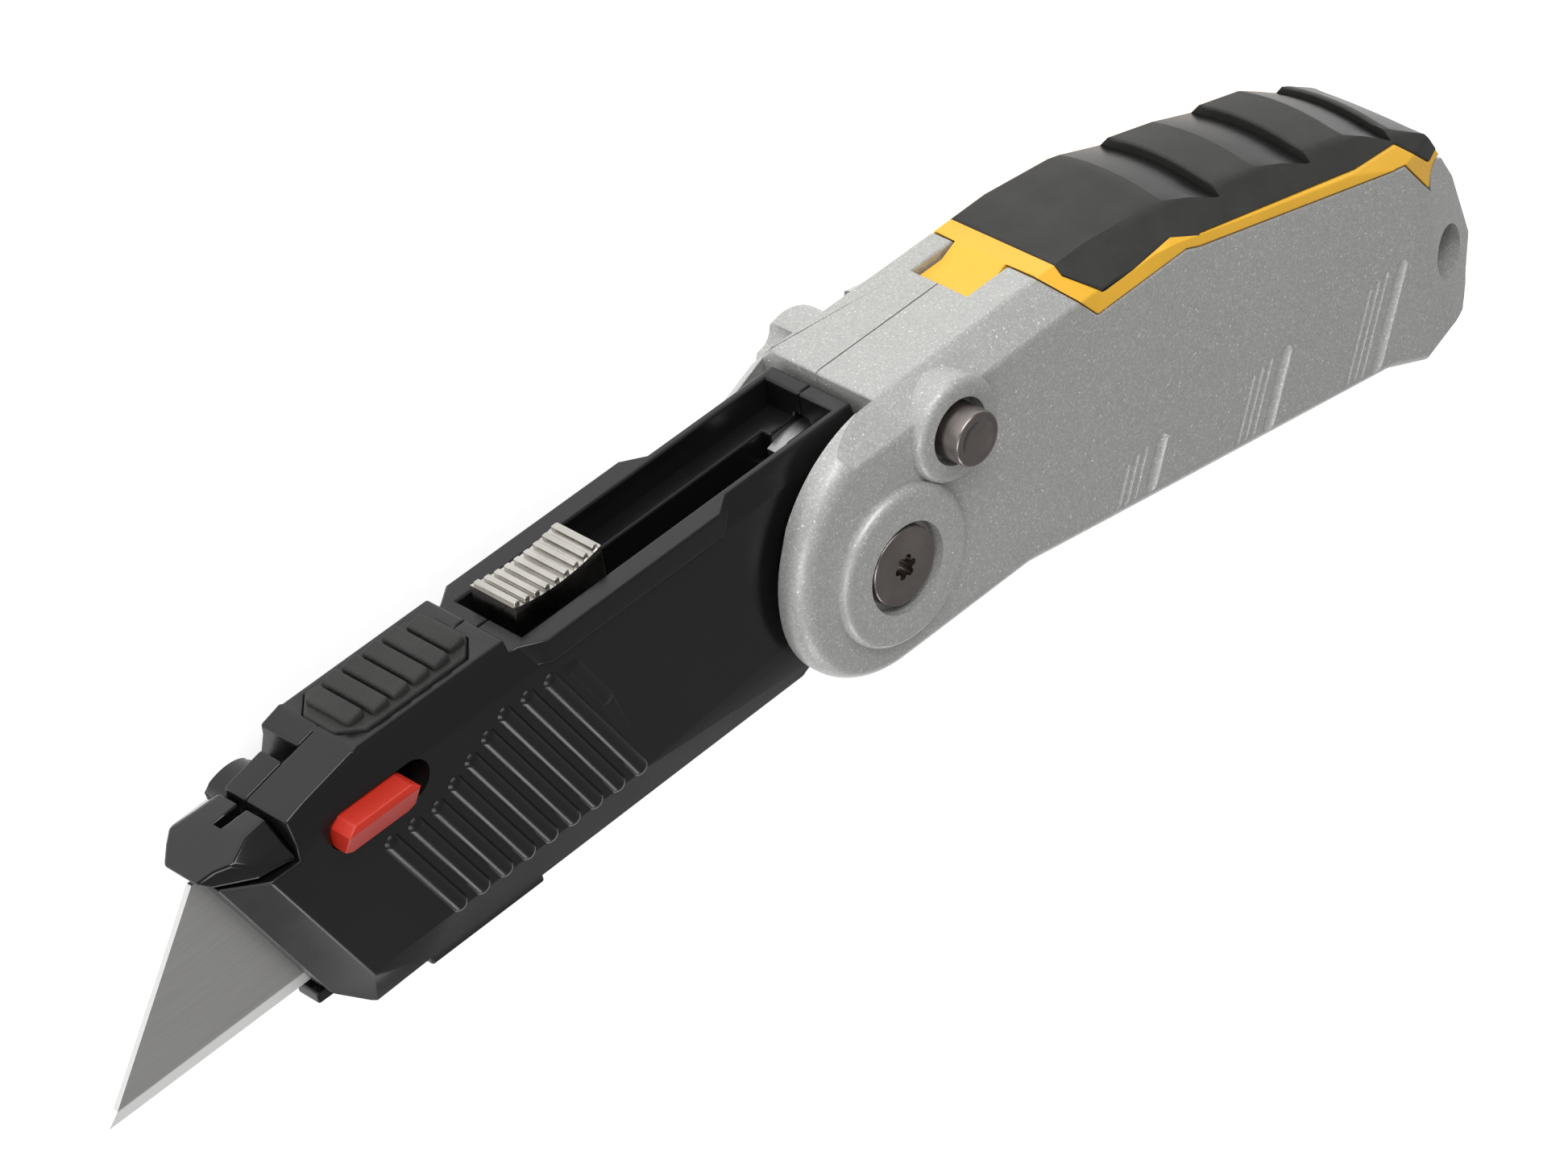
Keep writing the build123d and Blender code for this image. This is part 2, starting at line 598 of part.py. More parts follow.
handle_screw_spots = [(px + 5.6, deck_y - 2.5), (hinge_at[0] - 6.1, py - 4.9)]
handle_pin_spots = [(lx + 4.4, ly + 1.3), (hinge_at[0] - 9.5, py - 3.7)]
pivot_seat = boss_face - 1.6


def handle_solid():
    body = handle_envelope() + side_bosses()
    body -= channel()
    body -= blade_slit()
    depth = spare_count * spare_pitch + 0.4
    body -= store_box(store_gap, 0.1, depth) + (store_box(store_gap, 14, 0) & door_region(0))
    body -= door_region(0.15)
    lug = knuckle_zone(2.0, half) & handle_envelope()
    body += lug
    body -= knuckle_zone(2.55, knuckle_half + 0.15)
    body -= knuckle_zone(hinge_r + pin_gap, pin_end + 0.05)
    body -= rod(*lanyard_at, lanyard_r, -20, 20)
    tab = tab_region(0.25)
    body -= tab
    body -= slash_grooves()
    for side in (1, -1):
        z = sorted((side * pivot_seat, side * 20))
        body -= rod(px, py, recess_r, *z)
    body -= rod(px, py, barrel_r + seat, -20, 20)
    body -= rod(lx, ly, lock_r + run, -(boss_face - 0.8), 20)
    body -= rod(lx, ly, lock_hole_r, boss_face - 1.8, 20)
    for x, y in handle_screw_spots:
        body -= rod(x, y, 1.0 + seat, -20, 4.2)
        body -= rod(x, y, 1.9 + seat, -20, -4.9)
    for x, y in handle_pin_spots:
        body -= rod(x, y, 0.7 + seat, -4.0, 4.0)
    return body


def tab_region(gap):
    """Finger tab of the door and, with a gap, its notch in the deck."""
    x0, w = door_front - 5.6, 3.4
    return block(x0 - gap, door_front + 1, deck_y - 1.9 - gap, deck_y + 5, -w - gap, w + gap)


def handle_casting(whole, near):
    side = block(-50, 400, -100, 100, 0, 30) if near else block(-50, 400, -100, 100, -30, 0)
    body = whole & side
    body -= block(px - 2, door_front + 1, deck_y - 0.35, deck_y + 1, -0.09, 0.09)
    return Compound(children=[sorted(body.solids(), key=lambda q: q.volume)[-1]])


def door_solid():
    body = handle_envelope() & door_region(0)
    body -= knuckle_zone(2.4, half + 5) - knuckle_zone(2.6, knuckle_half)
    body += knuckle_zone(knuckle_r, knuckle_half)
    return body - knuckle_zone(hinge_r + run, half + 5)


def rubber_region():
    """Area of the door covered by the rubber grip, above the hard frame."""
    x0 = door_front + 2.6
    hx, hy = hinge_at
    low = [(x0, 60), (x0, deck_y - 1.0), (door_front + 5.6, deck_y - 3.8),
           (tail_x(0.48), deck_y - 3.8), (tail_x(0.52), deck_y - 5.4),
           (tail_x(0.88), py + 3.2), (hx - 1.6, hy + 3.0), (hx + 2.2, hy + 3.6), (hx + 30, 60)]
    return prism(low, -20, 20)


def back_height(x):
    """Height of the back over a station on its two sloping runs."""
    knee = (tail_x(0.803), py + 7.9)
    p, q = ((tail_x(0.485), deck_y - 1.2), knee) if x < knee[0] else (knee, (tail_x(0.889), py + 4.2))
    return p[1] + (q[1] - p[1]) * (x - p[0]) / (q[0] - p[0])


def scoops():
    """Three shallow finger steps across the grip, each ramping down to a square rear wall."""
    out = Part()
    for share, length, deep in ((0.503, 7.0, 1.3), (0.656, 7.0, 1.3), (0.806, 6.2, 1.0)):
        x0, x1 = tail_x(share), tail_x(share) + length
        y0, y1 = back_height(x0), back_height(x1)
        out += prism([(x0, y0 + 0.02), ((x0 + x1) / 2, (y0 + y1) / 2 - 0.35 * deep),
                      (x1, y1 - deep), (x1, y0 + 3), (x0, y0 + 3)], -8.5, 8.5)
    return out


def door_frame(door):
    frame = door - rubber_region()
    tab = tab_region(0)
    lean = prism([(door_front - 7, deck_y + 9), (door_front - 7, deck_y - 0.8),
                  (door_front - 2.2, deck_y - 0.8), (door_front - 0.2, deck_y + 0.0),
                  (door_front + 3, deck_y), (door_front + 3, deck_y + 9)], -9, 9)
    frame += (tab - lean)
    frame -= store_box(store_gap, 0.3, 6)
    return Compound(children=[sorted(frame.solids(), key=lambda q: q.volume)[-1]])


def door_grip(door):
    grip = door & rubber_region()
    return Compound(children=[sorted(grip.solids(), key=lambda q: q.volume)[-1]])


# ---- pivot, lock and fasteners ---------------------------------------------------------------
def six_lobe(r, depth, z):
    """Six-lobe socket cutter sunk from height z."""
    tool = rod(0, 0, r * 0.72, z - depth, z + 1)
    for i in range(6):
        a = radians(60 * i)
        tool += rod(r * 0.72 * cos(a), r * 0.72 * sin(a), r * 0.3, z - depth, z + 1)
    return tool


def pivot_screw():
    top = boss_face - 0.3
    body = rod(0, 0, head_r, pivot_seat, top)
    body = fillet(body.edges().sort_by(Axis.Z)[-1], 0.35)
    body += rod(0, 0, 1.9, pivot_seat - 10, pivot_seat + 0.1)
    return Pos(px, py, 0) * (body - six_lobe(1.35, 1.4, top))


def pivot_barrel():
    low = -(boss_face - 0.2)
    body = rod(0, 0, head_r, low, -pivot_seat)
    body += rod(0, 0, barrel_r, -pivot_seat - 0.1, pivot_seat - 0.1)
    body -= rod(0, 0, 1.9 + seat, pivot_seat - 10.4, 20)
    body -= Pos(0, 0, low) * Box(1.3, 6.0, 1.4)
    return Pos(px, py, 0) * body


def pivot_washers():
    ring = rod(px, py, 6.2, nose_half + 0.05, channel_half - 0.05)
    ring -= rod(px, py, barrel_r + seat, -20, 20)
    return Compound(children=[ring.solids()[0], mirror(ring, about=Plane.XY).solids()[0]])


foot_end, spring_seat = -(channel_half + 0.7), -3.2
bore_floor = -(boss_face - 0.8)


def lock_button():
    """Plunger: dished head, waist beside the lock plate, hollow guided foot."""
    t = plate_thick / 2 + 0.2
    top = boss_face + lock_proud
    body = rod(0, 0, lock_r, t + lock_travel, top)
    body = fillet(body.edges().sort_by(Axis.Z)[-1], 0.35)
    body += rod(0, 0, neck_r, -t - 0.1, t + lock_travel + 0.1)
    body += rod(0, 0, lock_r, foot_end, -t)
    body -= rod(0, 0, 2.3, foot_end - 1, spring_seat)
    dish = Pos(0, 0, top + 3.6) * Sphere(4.2)
    return Pos(lx, ly, 0) * (body - dish)


def lock_spring():
    """Coil between the button's hollow foot and the blind bore."""
    wire, coil_r = 0.28, 1.85
    height = spring_seat - bore_floor - 2 * wire - 0.04
    path = Helix(height / 6, height, coil_r)
    start = Plane(path @ 0, z_dir=path % 0)
    coil = sweep(start * Circle(wire), path=path, is_frenet=True)
    return Pos(lx, ly, bore_floor + wire + 0.02) * coil


def hinge_pin():
    return knuckle_zone(hinge_r, pin_end)


def handle_screws():
    one = hex_screw(1.0, 1.9, -6.9, -5.0, 4.0)
    return Compound(children=[(Pos(x, y, 0) * one).solids()[0] for x, y in handle_screw_spots])


def handle_pins():
    return Compound(children=[rod(x, y, 0.7, -3.9, 3.9).solids()[0] for x, y in handle_pin_spots])


def all_parts():
    shell = handle_solid()
    door = door_solid() - scoops()
    return {
        "handle_near": handle_casting(shell, True),
        "handle_far": handle_casting(shell, False),
        "handle_screws": handle_screws(),
        "handle_pins": handle_pins(),
        "spare_blades": spare_blades(),
        "hinge_pin": hinge_pin(),
        "pivot_screw": pivot_screw(),
        "pivot_barrel": pivot_barrel(),
        "pivot_washers": pivot_washers(),
        "lock_spring": lock_spring(),
        "lock_button": lock_button(),
        "door_frame": door_frame(door),
        "door_grip": door_grip(door),
        "nose_near": nose_casting(True),
        "nose_far": nose_casting(False),
        "nose_screws": nose_screws(),
        "nose_pins": nose_pins(),
        "front_cap": front_cap(),
        "edge_guide": edge_guide(),
        "thumb_pad": thumb_pad(),
        "lock_plate": lock_plate(),
        "release_button": release_button(),
        "blade_carrier": blade_carrier(),
        "slider_button": slider_button(),
        "slider_pin": slider_pin(),
        "detent_spring": detent_spring(),
        "blade": blade(),
    }


def main():
    os.makedirs("parts", exist_ok=True)
    parts = all_parts()
    low = [min(tuple(p.bounding_box().min)[i] for p in parts.values()) for i in range(3)]
    high = [max(tuple(p.bounding_box().max)[i] for p in parts.values()) for i in range(3)]
    shift = Pos(-(low[0] + high[0]) / 2, -(low[1] + high[1]) / 2, -low[2])
    for name, solid in parts.items():
        export_step(shift * solid, "parts/" + name + ".step")
    print("knife frame origin moved by", shift.position)


main()
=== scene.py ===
# %% [markdown]
# # A folding utility knife, finished in Blender
# The knife's parts come from a CAD model. This lesson loads them as a fixed frame, gives every part
# its own finish, adds the small things that CAD leaves out, and sets up a pale studio.

import json
import math

import bmesh
import bpy
from mathutils import Matrix, Vector


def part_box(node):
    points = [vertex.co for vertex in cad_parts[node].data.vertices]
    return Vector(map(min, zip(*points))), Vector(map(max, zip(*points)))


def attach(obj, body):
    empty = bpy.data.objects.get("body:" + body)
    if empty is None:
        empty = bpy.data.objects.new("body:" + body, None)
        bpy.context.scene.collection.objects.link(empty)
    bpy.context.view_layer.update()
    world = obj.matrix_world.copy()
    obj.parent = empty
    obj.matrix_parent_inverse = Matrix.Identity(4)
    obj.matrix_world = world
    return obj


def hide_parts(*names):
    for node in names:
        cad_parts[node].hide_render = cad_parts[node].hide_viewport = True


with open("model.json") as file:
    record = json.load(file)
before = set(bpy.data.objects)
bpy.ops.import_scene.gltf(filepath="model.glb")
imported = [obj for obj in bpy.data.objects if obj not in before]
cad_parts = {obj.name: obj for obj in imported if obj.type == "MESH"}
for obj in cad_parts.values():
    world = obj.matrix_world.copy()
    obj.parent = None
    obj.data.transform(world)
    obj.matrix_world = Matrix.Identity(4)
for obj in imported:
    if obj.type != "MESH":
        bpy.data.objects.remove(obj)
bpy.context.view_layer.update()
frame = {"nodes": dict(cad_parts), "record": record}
nodes = frame["nodes"]
print("parts in the frame:", len(nodes))

# %% [markdown]
# ## The camera and the table
# The knife lies on its far side on a table, and the camera looks down on it from over the blade,
# with a long lens so that parallel edges stay nearly parallel. The camera goes in first, because
# every later choice is judged through it. The floor is one big flat square.

# %% Camera
MM = 0.001


def aim(right, up, back, place):
    """A camera matrix from its own three axes and its place."""
    m = Matrix((right, up, back)).transposed().to_4x4()
    m.translation = Vector(place)
    return m


lens = bpy.data.cameras.new("view")
lens.sensor_width = 36
lens.lens = 148.1
lens.clip_start, lens.clip_end = 0.01, 20
camera = bpy.data.objects.new("view", lens)
bpy.context.collection.objects.link(camera)
camera.matrix_world = aim((0.6934, -0.1334, 0.7081), (0.5185, 0.7748, -0.3618),
                          (-0.5004, 0.6180, 0.6064), (-0.3144, 0.3840, 0.3898))
bpy.context.scene.camera = camera
print("camera at", tuple(round(v, 3) for v in camera.location))

# %% Floor
def finished_object(name, bm):
    """A mesh object at the origin from a bmesh, which is freed."""
    mesh = bpy.data.meshes.new(name)
    bm.to_mesh(mesh)
    bm.free()
    obj = bpy.data.objects.new(name, mesh)
    bpy.context.collection.objects.link(obj)
    return obj


bm = bmesh.new()
bmesh.ops.create_grid(bm, x_segments=1, y_segments=1, size=3.0)
floor = finished_object("table", bm)
floor.location.z = -0.0002
print("floor is", tuple(floor.dimensions))

# %% [markdown]
# ## Node helpers
# A finish is a small network of nodes. Three helpers keep the cells short: one starts a material
# with its main shader, one adds a texture that reads Object coordinates, so the pattern keeps its
# real size in metres, and one turns a texture into fine relief.

# %% Material helpers
def finish(name, **sockets):
    """A new material with its shader's plain values set; returns it with its nodes."""
    mat = bpy.data.materials.new(name)
    mat.use_nodes = True
    tree = mat.node_tree
    shader = tree.nodes["Principled BSDF"]
    for key, value in sockets.items():
        shader.inputs[key.replace("_", " ").title().replace("Ior", "IOR")].default_value = value
    return mat, tree, shader


def texture(tree, kind, scale, stretch=(1, 1, 1), **values):
    """A procedural texture on Object coordinates; scale is in cells per metre."""
    node = tree.nodes.new(kind)
    place = tree.nodes.new("ShaderNodeMapping")
    place.inputs["Scale"].default_value = stretch
    where = tree.nodes.new("ShaderNodeTexCoord")
    tree.links.new(where.outputs["Object"], place.inputs["Vector"])
    tree.links.new(place.outputs["Vector"], node.inputs["Vector"])
    node.inputs["Scale"].default_value = scale
    for key, value in values.items():
        node.inputs[key.replace("_", " ").title()].default_value = value
    return node


def relief(tree, shader, height, depth, strength=1.0, after=None):
    """Bump of a real depth in metres from a height output."""
    bump = tree.nodes.new("ShaderNodeBump")
    bump.inputs["Distance"].default_value = depth
    bump.inputs["Strength"].default_value = strength
    tree.links.new(height, bump.inputs["Height"])
    if after is not None:
        tree.links.new(after, bump.inputs["Normal"])
    tree.links.new(bump.outputs["Normal"], shader.inputs["Normal"])
    return bump.outputs["Normal"]


def ramp(tree, source, *stops):
    """A colour ramp fed by source; stops are (position, grey or rgb)."""
    node = tree.nodes.new("ShaderNodeValToRGB")
    ends = node.color_ramp.elements
    while len(ends) < len(stops):
        ends.new(0.5)
    for end, (at, tone) in zip(ends, stops):
        end.position = at
        tone = (tone,) * 3 if isinstance(tone, (int, float)) else tone
        end.color = (*tone, 1)
    tree.links.new(source, node.inputs["Fac"])
    return node.outputs["Color"]


skins = {}


def put(mat, *names):
    """Gives a finish to CAD parts and to the pieces that stand for them."""
    for name in names:
        for obj in (nodes[name], skins.get(name)):
            if obj is not None and obj.data.materials:
                obj.data.materials[0] = mat
            elif obj is not None:
                obj.data.materials.append(mat)
    print(mat.name, "on", ", ".join(names))


# %% [markdown]
# ## Soft edges
# Real castings and mouldings never have knife-sharp corners: paint, tumbling and the mould itself
# round them by a few tenths of a millimetre, and those small rounds are what catch the light.
# The CAD keeps its corners sharp, so each visible shell gets a copy whose outward corners are
# bevelled. Inward corners are left, so no copy grows into its neighbour. A Bevel modifier would
# also do it, but the operator lets the copy choose its edges by angle.

# %% Soft-edge copies
MID = (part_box("blade")[0].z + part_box("blade")[1].z) / 2
body_of = {n: b for b, names in frame["record"]["behaviour"]["bodies"].items() for n in names}


def merged_copy(name):
    """A CAD part as one clean mesh: doubles merged, flat facets joined."""
    bm = bmesh.new()
    bm.from_mesh(nodes[name].data)
    bmesh.ops.remove_doubles(bm, verts=bm.verts, dist=2e-6)
    bmesh.ops.dissolve_limit(bm, angle_limit=math.radians(1), verts=bm.verts, edges=bm.edges)
    bm.normal_update()
    return bm


def breadth(face):
    """How wide a face is: its area over its longest side."""
    return face.calc_area() / max(e.calc_length() for e in face.edges)


def outward_corners(bm, width, sharp=25):
    """Convex corners with room on both sides for a round of this width."""
    return [e for e in bm.edges if e.is_manifold and e.is_convex
            and e.calc_face_angle(0) > math.radians(sharp) and e.calc_length() > 2 * width
            and min(breadth(f) for f in e.link_faces) > 2.2 * width]


def stand_for(name, bm):
    """Puts a finished mesh in place of a CAD part, riding on the same body."""
    bm.normal_update()
    for face in bm.faces:
        face.smooth = True
    for edge in bm.edges:
        edge.smooth = edge.is_manifold and edge.calc_face_angle(0) < math.radians(38)
    obj = finished_object(name + "_skin", bm)
    weigh = obj.modifiers.new("flat faces keep their shading", "WEIGHTED_NORMAL")
    weigh.keep_sharp = True
    weigh.weight = 100
    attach(obj, body_of[name])
    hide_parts(name)
    skins[name] = obj
    return obj


def on_ribs(edge):
    """Edges of the nose's grip ribs, which are round already."""
    middle = (edge.verts[0].co + edge.verts[1].co) / 2
    return middle.y < 14.3 * MM and 6.33 * MM < abs(middle.z - MID) < 7 * MM


def soften(name, width, segments=3, sharp=25):
    """Rounds the outward corners of a CAD part's copy by a width in metres."""
    bm = merged_copy(name)
    corners = [e for e in outward_corners(bm, width, sharp)
               if not (name.startswith("nose") and on_ribs(e))]
    bmesh.ops.bevel(bm, geom=corners, offset=width, offset_type="OFFSET", affect="EDGES",
                    segments=segments, profile=0.5, clamp_overlap=False, material=-1)
    bmesh.ops.triangulate(bm, faces=[f for f in bm.faces if len(f.verts) > 4])
    print(name, "has", len(corners), "soft corners and", len(bm.faces), "faces")
    return stand_for(name, bm)


for name, width, sharp in (("nose_near", 0.3, 40), ("nose_far", 0.3, 40),
                           ("handle_near", 0.3, 25), ("handle_far", 0.3, 25),
                           ("door_frame", 0.2, 25), ("front_cap", 0.35, 25),
                           ("edge_guide", 0.25, 25), ("release_button", 0.15, 25),
                           ("slider_button", 0.16, 25), ("lock_button", 0.1, 25)):
    soften(name, width * MM, sharp=sharp)

# %% [markdown]
# ## The grip's crown and finger steps
# The rubber on the door swells gently from side to side, so the rear walls of its finger steps
# look like shallow arcs. The CAD part is flat across. Its copy is cut into strips along its
# length, and each strip's outer points rise, most in the middle and not at all at the bevels,
# fading to nothing at the front, where the rubber meets the hard frame. A lattice or a curve
# modifier could bend it too, but would also bend the hidden underside.

# %% Cut the grip into strips
low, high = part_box("door_grip")
knee = low.x + 41.3 * MM        # where the back turns down toward the tail
crown, crown_half = 0.9 * MM, 6.8 * MM
front_fade, tail_fade = 12 * MM, 6 * MM
round_width = 0.4 * MM
bm = merged_copy("door_grip")
for strip in range(-8, 9, 2):
    bmesh.ops.bisect_plane(bm, geom=bm.verts[:] + bm.edges[:] + bm.faces[:], dist=1e-6,
                           plane_co=(0, 0, MID + strip * MM), plane_no=(0, 0, 1))
bm.normal_update()


def is_step_floor(face):
    """Faces that fall toward the tail faster than the back of the grip does."""
    middle = face.calc_center_median()
    return face.normal.y > 0.5 and face.normal.x > (0.34 if middle.x < knee else 0.48)


# Step floors get material slot 1, a darker copy of the grip rubber; the extra darkness is painted
# shade.
for face in bm.faces:
    face.material_index = 1 if is_step_floor(face) else 0
print("door grip in strips:", len(bm.faces), "faces")

# %% Raise the grip's middle
outer = [v for v in bm.verts if any(f.normal.y > 0.3 for f in v.link_faces)]
for vert in outer:
    off = (vert.co.z - MID) / crown_half
    fade = min(1, (vert.co.x - low.x) / front_fade, (high.x - vert.co.x) / tail_fade)
    vert.co.y += crown * max(0, 1 - off * off) * max(0, fade)
corners = outward_corners(bm, round_width, 22)
bmesh.ops.bevel(bm, geom=corners, offset=round_width, offset_type="OFFSET", affect="EDGES",
                segments=3, profile=0.5, clamp_overlap=False, material=-1)
bmesh.ops.triangulate(bm, faces=[f for f in bm.faces if len(f.verts) > 4])
floors = sum(f.material_index for f in bm.faces)
print("door grip:", len(outer), "outer points,", floors, "step floor faces")
stand_for("door_grip", bm)

# %% [markdown]
# ## The thumb pad's bands
# The pad is a low rubber tray with six bands across it. Each band is a bar that climbs toward
# the slider and drops off sharply behind, so that the thumb can push without slipping. The tray
# is the CAD pad cut off at the foot of its bands, and the bars are bevelled cubes, tilted by
# nine degrees. Sculpting them would be slower and would not stay even.

# %% Thumb pad
def rounded_bar(bm, centre, size, turn, width):
    """Adds a box with all its edges rounded, turned about Z, to a bmesh."""
    made = bmesh.ops.create_cube(bm, size=1)["verts"]
    bmesh.ops.scale(bm, vec=size, verts=made)
    edges = list({e for v in made for e in v.link_edges})
    made = bmesh.ops.bevel(bm, geom=edges, offset=width, offset_type="OFFSET", affect="EDGES",
                           segments=3, profile=0.5, clamp_overlap=True, material=-1)
    verts = list({v for f in made["faces"] for v in f.verts})
    bmesh.ops.rotate(bm, cent=(0, 0, 0), matrix=Matrix.Rotation(math.radians(turn), 3, "Z"),
                     verts=verts)
    bmesh.ops.translate(bm, vec=centre, verts=verts)


low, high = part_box("thumb_pad")
tray_top = high.y - 1.05 * MM
bands, bar_height, bar_lean = 6, 1.35 * MM, 9
bm = merged_copy("thumb_pad")
cut = bmesh.ops.bisect_plane(bm, geom=bm.verts[:] + bm.edges[:] + bm.faces[:], dist=1e-6,
                             plane_co=(0, tray_top, 0), plane_no=(0, 1, 0), clear_outer=True)
bmesh.ops.holes_fill(bm, edges=[e for e in cut["geom_cut"] if isinstance(e, bmesh.types.BMEdge)])
bm.normal_update()
corners = outward_corners(bm, 0.3 * MM)
bmesh.ops.bevel(bm, geom=corners, offset=0.3 * MM, offset_type="OFFSET", affect="EDGES",
                segments=3, profile=0.5, clamp_overlap=False, material=-1)
pitch = (high.x - low.x - 1.5 * MM) / bands
for i in range(bands):
    wide = 7.3 * MM if 0 < i < bands - 1 else 6.0 * MM
    rounded_bar(bm, (low.x + 0.9 * MM + pitch * (i + 0.5), high.y - 0.88 * MM, MID),
                (pitch - 0.42 * MM, bar_height, wide), bar_lean, 0.4 * MM)
bmesh.ops.recalc_face_normals(bm, faces=bm.faces)
print("thumb pad: bands every", round(pitch / MM, 2), "mm")
stand_for("thumb_pad", bm)

# %% Floor finish
mat, _, _ = finish("pale table", base_color=(0.9, 0.9, 0.9, 1), roughness=0.9,
                   emission_color=(1, 1, 1, 1), emission_strength=0.6)
floor.data.materials.append(mat)
print(mat.name, "on", floor.name)

# %% [markdown]
# ## Silver flake paint
# The handle halves are die castings under a silver paint. Tiny metal flakes lie in the paint at
# slightly different tilts, so each one catches the light at its own moment. Voronoi cells an
# eighth of a millimetre wide stand for the flakes: each cell's random colour brightens it and
# tips the surface a little, and a thin clear coat lies over them. Where hands rub, the coat is
# smoother, which a much larger noise shows in the roughness.

# %% Silver paint
mat, tree, shader = finish("silver flake paint", metallic=0.35, roughness=0.5, coat_weight=0.2,
                           coat_roughness=0.3)
flakes = texture(tree, "ShaderNodeTexVoronoi", 6500)
big = texture(tree, "ShaderNodeTexVoronoi", 2600)
soft = texture(tree, "ShaderNodeTexNoise", 900, detail=3.0)
handled = texture(tree, "ShaderNodeTexNoise", 60, detail=2.0)
tone = ramp(tree, flakes.outputs["Color"], (0.0, (0.36, 0.366, 0.354)), (0.7, (0.455, 0.46, 0.445)),
            (0.9, (0.56, 0.565, 0.55)), (1.0, (0.95, 0.95, 0.93)))
tree.links.new(tone, shader.inputs["Base Color"])
worn = ramp(tree, handled.outputs["Fac"], (0.35, 0.42), (0.65, 0.54))
tree.links.new(worn, shader.inputs["Roughness"])
first = relief(tree, shader, flakes.outputs["Color"], 0.00002, 0.45)
second = relief(tree, shader, big.outputs["Color"], 0.00002, 0.25, after=first)
relief(tree, shader, soft.outputs["Fac"], 0.00006, 0.3, after=second)
put(mat, "handle_near", "handle_far")

# %% [markdown]
# ## Gloss black coating
# The nose is a metal casting under a thick glossy black coat. The coat isn't dead flat: it has
# the faint waviness of sprayed paint, and fingers leave it a little duller in places. A black
# base with one smooth lobe does this; a coat lobe on top would only wash the black out.

# %% Gloss black nose
mat, tree, shader = finish("gloss black coating", base_color=(0.006, 0.006, 0.0065, 1),
                           roughness=0.27, specular_ior_level=0.42)
peel = texture(tree, "ShaderNodeTexNoise", 420, detail=2.0)
smudge = texture(tree, "ShaderNodeTexNoise", 90, detail=4.0)
dull = ramp(tree, smudge.outputs["Fac"], (0.35, 0.22), (0.7, 0.34))
tree.links.new(dull, shader.inputs["Roughness"])
relief(tree, shader, peel.outputs["Fac"], 0.00004, 0.2)
put(mat, "nose_near", "nose_far")

# %% [markdown]
# ## Moulded plastics
# The front cap and the blade-edge guide are polished black plastic, the door frame and the blade
# release are coloured ones with the fine spark-eroded grain of their moulds. Grain is a small,
# high noise in the bump; the colour shifts by a few hundredths so that no face is one flat tone.

# %% Plastics
def moulded(name, colour, roughness, grain, depth):
    """Plastic with a cloudy colour and a fine mould grain of a given scale and depth."""
    mat, tree, shader = finish(name, roughness=roughness)
    cloud = texture(tree, "ShaderNodeTexNoise", 140, detail=3.0)
    low, high = [tuple(c * k for c in colour) for k in (0.93, 1.05)]
    tone = ramp(tree, cloud.outputs["Fac"], (0.3, low), (0.7, high))
    tree.links.new(tone, shader.inputs["Base Color"])
    skin = texture(tree, "ShaderNodeTexNoise", grain, detail=3.0)
    relief(tree, shader, skin.outputs["Fac"], depth, 0.35)
    return mat


put(moulded("polished black plastic", (0.006, 0.006, 0.0065), 0.12, 500, 0.00003), "front_cap",
    "edge_guide")
put(moulded("yellow plastic", (0.86, 0.47, 0.035), 0.45, 2600, 0.00003), "door_frame")
put(moulded("red plastic", (0.52, 0.026, 0.012), 0.36, 2200, 0.00002), "release_button")

# %% [markdown]
# ## Rubbers
# The grip is overmoulded rubber with a dense fine grain; the floors of its finger steps are
# polished in the mould and look smoother and glossier, and their darker tone is painted shade.
# Their faces were marked when the grip was cut into strips, so a second finish in the mesh's list
# of materials reaches only them.
# The thumb pad has a coarser, drier grain.

# %% Grip rubber and pad rubber
def rubber(name, tone, roughness, grain, depth):
    """Dark rubber, a little dusty, with pits of a given scale and depth."""
    mat, tree, shader = finish(name, roughness=roughness, specular_ior_level=0.4)
    cloud = texture(tree, "ShaderNodeTexNoise", 260, detail=4.0)
    dusty = ramp(tree, cloud.outputs["Fac"], (0.3, tuple(c * 0.85 for c in tone)),
                 (0.75, tuple(c * 1.2 for c in tone)))
    tree.links.new(dusty, shader.inputs["Base Color"])
    pits = texture(tree, "ShaderNodeTexNoise", grain, detail=5.0)
    relief(tree, shader, pits.outputs["Fac"], depth, 0.6)
    return mat


grip_rubber = rubber("grip rubber", (0.030, 0.030, 0.028), 0.62, 4200, 0.00006)
put(grip_rubber, "door_grip")
# Painted shade: the step floors' rubber is the grip rubber at well under half its tone (0.012
# against 0.030), and glossier.
shaded_step_rubber = rubber("polished step rubber with painted shade", (0.012, 0.012, 0.0115), 0.34, 4200, 0.00003)
skins["door_grip"].data.materials.append(shaded_step_rubber)
pad_rubber = rubber("pad rubber", (0.024, 0.024, 0.023), 0.66, 2600, 0.00018)
put(pad_rubber, "thumb_pad")
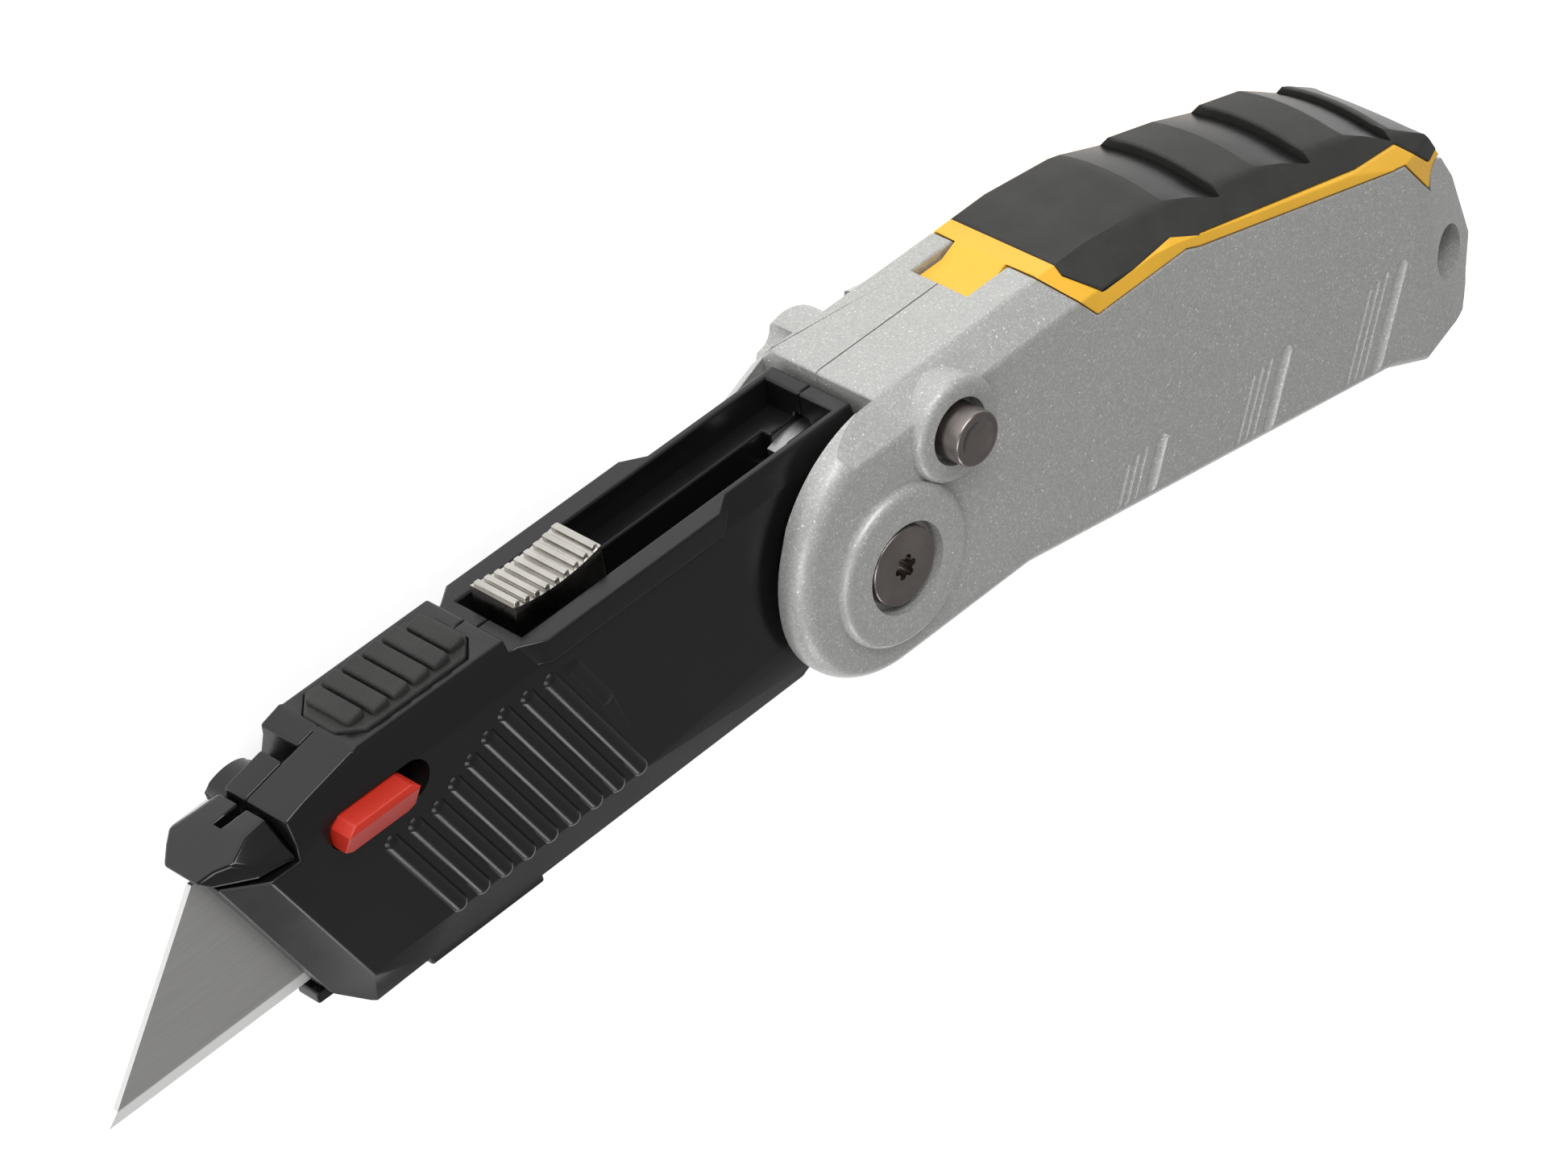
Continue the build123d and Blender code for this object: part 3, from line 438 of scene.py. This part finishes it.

# %% [markdown]
# ## Ground blade steel
# The blade's flats are ground, which leaves hair-fine lines along its length, and its edge is
# honed to a bevel a millimetre and a half high, which carries a painted highlight. The lines are a
# noise squeezed along X.
# The bevel is found by height: where the Object coordinate Y is below its top, the steel is painted
# pale and less metallic, a painted highlight that keeps the honed edge bright whatever it faces.

# %% Blade steel
mat, tree, shader = finish("ground blade steel", roughness=0.4)
lines = texture(tree, "ShaderNodeTexNoise", 5200, stretch=(0.02, 1, 1), detail=3.0)
where = tree.nodes.new("ShaderNodeTexCoord")
split = tree.nodes.new("ShaderNodeSeparateXYZ")
tree.links.new(where.outputs["Object"], split.inputs["Vector"])
bevel_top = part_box("blade")[0].y + 1.5 * MM
# Painted highlight: in this band along the honed bevel the steel turns pale grey and less metallic,
# so the edge looks lit whatever it faces.
band = tree.nodes.new("ShaderNodeMapRange")
band.inputs["From Min"].default_value = bevel_top - 0.12 * MM
band.inputs["From Max"].default_value = bevel_top + 0.05 * MM
tree.links.new(split.outputs["Y"], band.inputs["Value"])
flat = ramp(tree, lines.outputs["Fac"], (0.25, (0.57, 0.565, 0.555)), (0.75, (0.65, 0.645, 0.635)))
both = tree.nodes.new("ShaderNodeMix")
both.data_type = "RGBA"
tree.links.new(band.outputs["Result"], both.inputs["Factor"])
both.inputs["A"].default_value = (0.86, 0.86, 0.85, 1)
tree.links.new(flat, both.inputs["B"])
tree.links.new(both.outputs["Result"], shader.inputs["Base Color"])
# Painted highlight: the metallic falls to 0.25 on the edge band.
edge_highlight_metallic = ramp(tree, band.outputs["Result"], (0.0, 0.25), (1.0, 0.92))
tree.links.new(edge_highlight_metallic, shader.inputs["Metallic"])
relief(tree, shader, lines.outputs["Fac"], 0.00001, 0.2)
put(mat, "blade", "spare_blades")

# %% [markdown]
# ## Plated and turned metal
# The slider is bright plated zinc, wavy from its casting. The pivot screw and the lock button
# are turned and dark nickel plated, with fine rings round their axis, and the hidden screws,
# pins and springs are plain steel. One helper mixes a tone, a roughness and a fine relief.

# %% Metals
def metal(name, tone, roughness, grain, depth, spread=0.12):
    """Bare metal whose tone and roughness drift together, with a fine relief."""
    mat, tree, shader = finish(name, metallic=1.0, roughness=roughness)
    cloud = texture(tree, "ShaderNodeTexNoise", 300, detail=4.0)
    shade = ramp(tree, cloud.outputs["Fac"], (0.3, tuple(c * (1 - spread) for c in tone)),
                 (0.7, tuple(c * (1 + spread) for c in tone)))
    tree.links.new(shade, shader.inputs["Base Color"])
    rub = ramp(tree, cloud.outputs["Fac"], (0.3, roughness * 0.75), (0.7, roughness * 1.3))
    tree.links.new(rub, shader.inputs["Roughness"])
    skin = texture(tree, "ShaderNodeTexNoise", grain, detail=3.0)
    relief(tree, shader, skin.outputs["Fac"], depth, 0.4)
    return mat


put(metal("nickel plate", (0.50, 0.48, 0.45), 0.2, 900, 0.00008), "slider_button")
put(metal("dark nickel", (0.27, 0.24, 0.23), 0.3, 2500, 0.00003), "pivot_screw", "pivot_barrel",
    "lock_button")
put(metal("plain steel", (0.46, 0.46, 0.46), 0.35, 1800, 0.00003), "handle_screws", "handle_pins",
    "hinge_pin", "lock_spring", "nose_screws", "nose_pins", "lock_plate", "slider_pin",
    "detent_spring")
put(metal("cast zinc", (0.34, 0.35, 0.36), 0.5, 1200, 0.00008, 0.18), "blade_carrier")
put(moulded("washer plastic", (0.68, 0.68, 0.64), 0.5, 2000, 0.00002), "pivot_washers")

# %% [markdown]
# ## Light
# A big soft panel over the slider side, a weaker one beyond the blade, a low one that only
# catches the flanks of the grip ribs, and an even pale surround: gloss black shows nothing but
# what it reflects, so every form on it needs a light shape of its own. The flat of the nose is
# left facing a dark direction, which keeps it black.

# %% Lights
def panel(name, place, target, size, power):
    """A rectangular soft light that faces its target."""
    data = bpy.data.lights.new(name, "AREA")
    data.shape = "RECTANGLE"
    data.size, data.size_y = size
    data.energy = power
    lamp = bpy.data.objects.new(name, data)
    bpy.context.collection.objects.link(lamp)
    lamp.location = place
    lamp.rotation_euler = (Vector(target) - Vector(place)).to_track_quat("-Z", "Y").to_euler()
    print(name, "of", power, "W")


panel("key panel", (-0.15, 0.9, 0.5), (0, 0, 0), (0.9, 0.5), 8)
panel("side panel", (-0.8, -0.1, 0.7), (0, 0, 0), (0.5, 0.5), 3)
panel("low panel", (-0.3, -0.9, 0.4), (-0.03, 0, 0.01), (0.4, 0.25), 1.6)
world = bpy.data.worlds.new("surround")
world.use_nodes = True
world.node_tree.nodes["Background"].inputs["Color"].default_value = (1, 1, 1, 1)
world.node_tree.nodes["Background"].inputs["Strength"].default_value = 0.3
bpy.context.scene.world = world
bpy.context.scene.view_settings.view_transform = "Standard"
